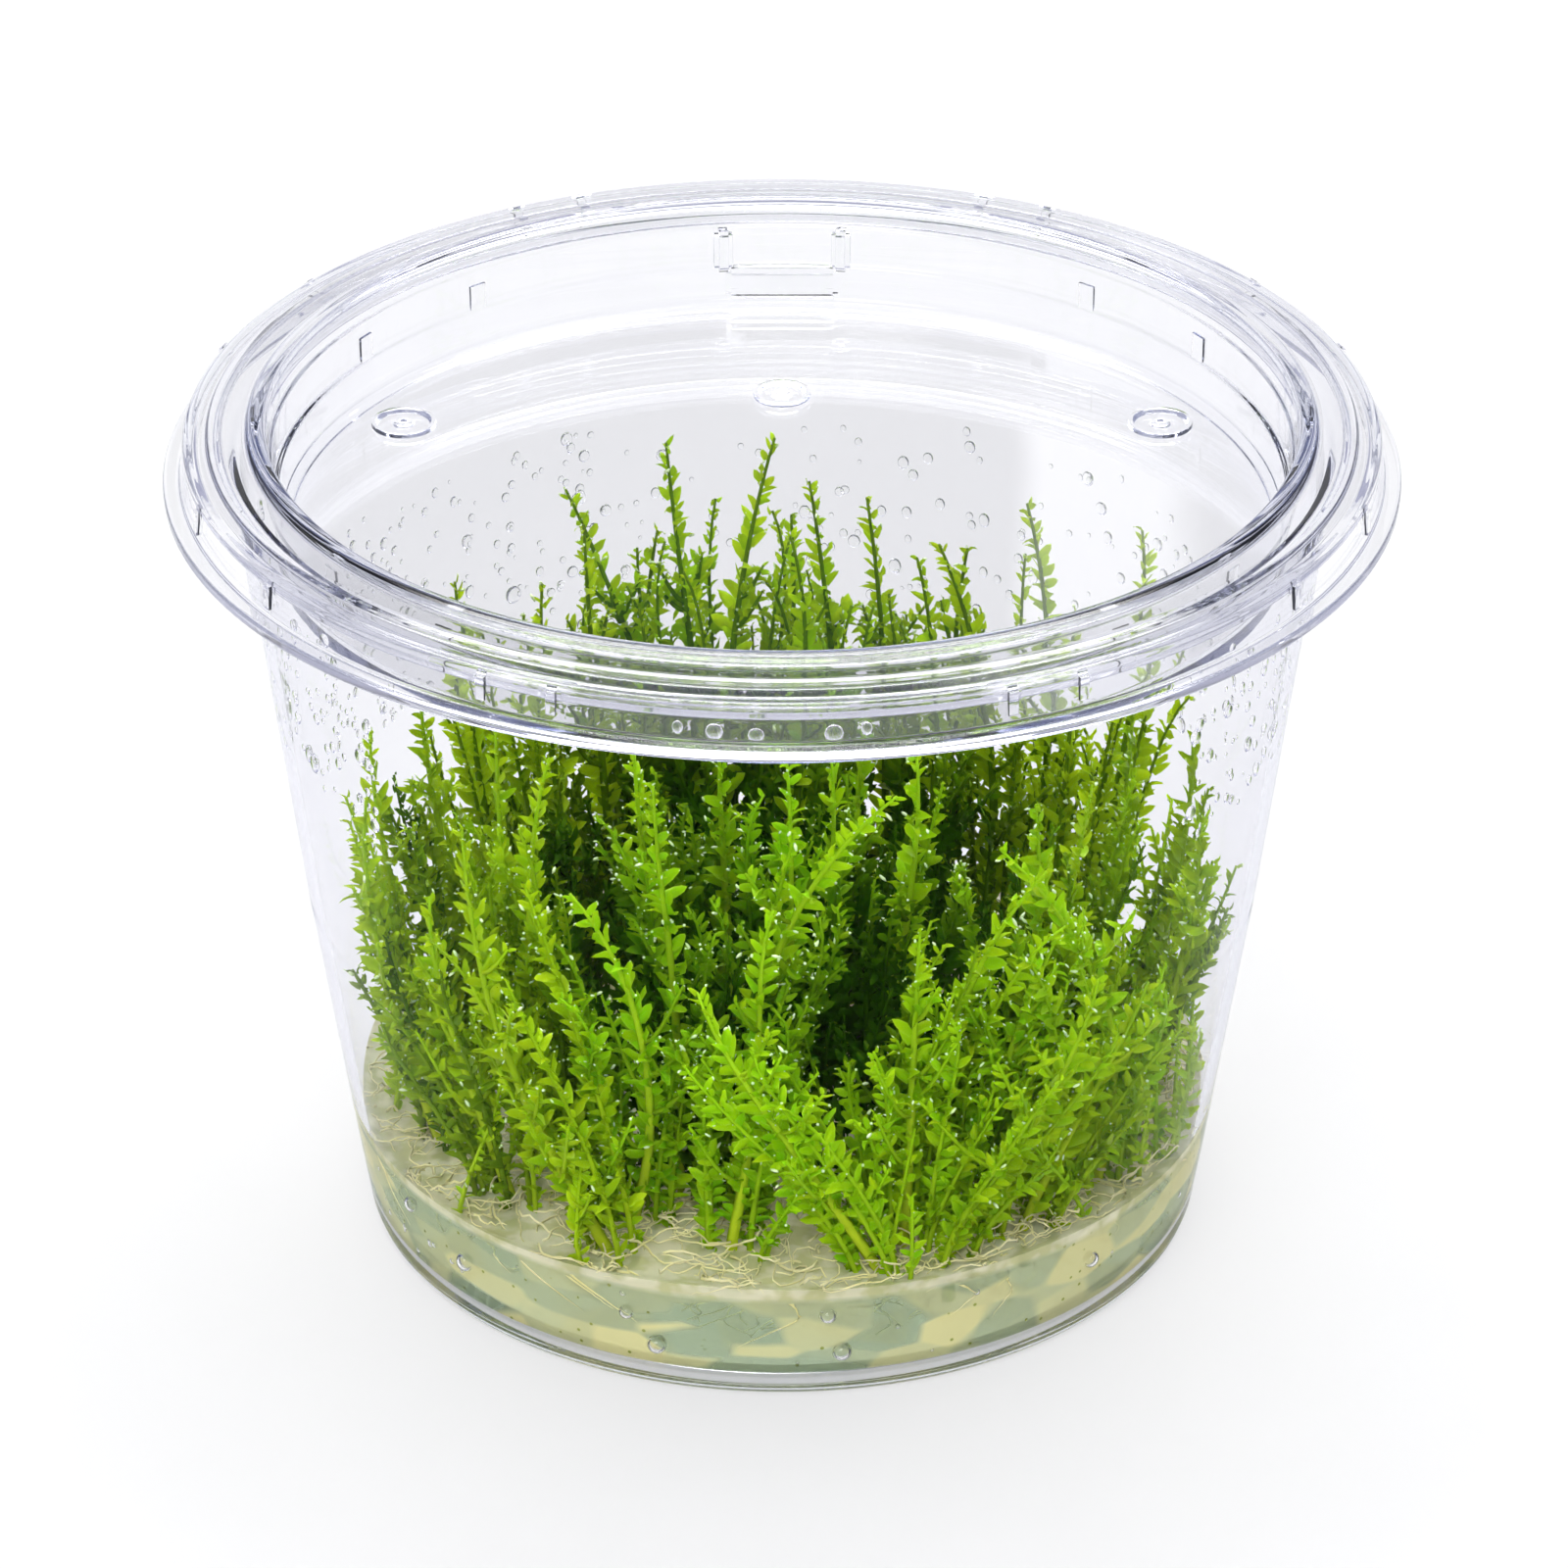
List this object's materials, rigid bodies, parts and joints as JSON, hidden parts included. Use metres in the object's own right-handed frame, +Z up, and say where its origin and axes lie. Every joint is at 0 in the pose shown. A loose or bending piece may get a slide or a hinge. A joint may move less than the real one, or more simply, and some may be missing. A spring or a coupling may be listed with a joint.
{
  "type": "tissue culture cup of spiky moss",
  "caption": "Clear tapered cup with a push-on lid, holding upright spiky aquarium moss shoots rooted on a layer of nutrient gel.",
  "frame": {"origin": "middle of the cup's foot, on the surface it stands on", "axes": "+Z up through the lid, -Y towards the front where the shoots show best, +X to the right"},
  "size_m": [0.1, 0.1, 0.072],
  "materials": {
    "cup_plastic": "clear, glossy",
    "lid_plastic": "clear, glossy",
    "gel": "clear, wet",
    "moss": "wet leaf"
  },
  "bodies": {
    "root": {"cup": "cup_plastic", "lid": "lid_plastic", "gel": "gel", "moss_shoot_01": "moss", "moss_shoot_02": "moss", "moss_shoot_03": "moss", "moss_shoot_04": "moss", "moss_shoot_05": "moss", "moss_shoot_06": "moss", "moss_shoot_07": "moss", "moss_shoot_08": "moss", "moss_shoot_09": "moss", "moss_shoot_10": "moss", "moss_shoot_11": "moss", "moss_shoot_12": "moss", "moss_shoot_13": "moss", "moss_shoot_14": "moss", "moss_shoot_15": "moss", "moss_shoot_16": "moss", "moss_shoot_17": "moss", "moss_shoot_18": "moss", "moss_shoot_19": "moss", "moss_shoot_20": "moss", "moss_shoot_21": "moss", "moss_shoot_22": "moss", "moss_shoot_23": "moss", "moss_shoot_24": "moss", "moss_shoot_25": "moss", "moss_shoot_26": "moss", "moss_shoot_27": "moss", "moss_shoot_28": "moss", "moss_shoot_29": "moss", "moss_shoot_30": "moss", "moss_shoot_31": "moss", "moss_shoot_32": "moss", "moss_shoot_33": "moss", "moss_shoot_34": "moss", "moss_shoot_35": "moss", "moss_shoot_36": "moss", "moss_shoot_37": "moss", "moss_shoot_38": "moss", "moss_shoot_39": "moss", "moss_shoot_40": "moss", "moss_shoot_41": "moss", "moss_shoot_42": "moss", "moss_shoot_43": "moss", "moss_shoot_44": "moss", "moss_shoot_45": "moss", "moss_shoot_46": "moss"}
  },
  "joints": []
}
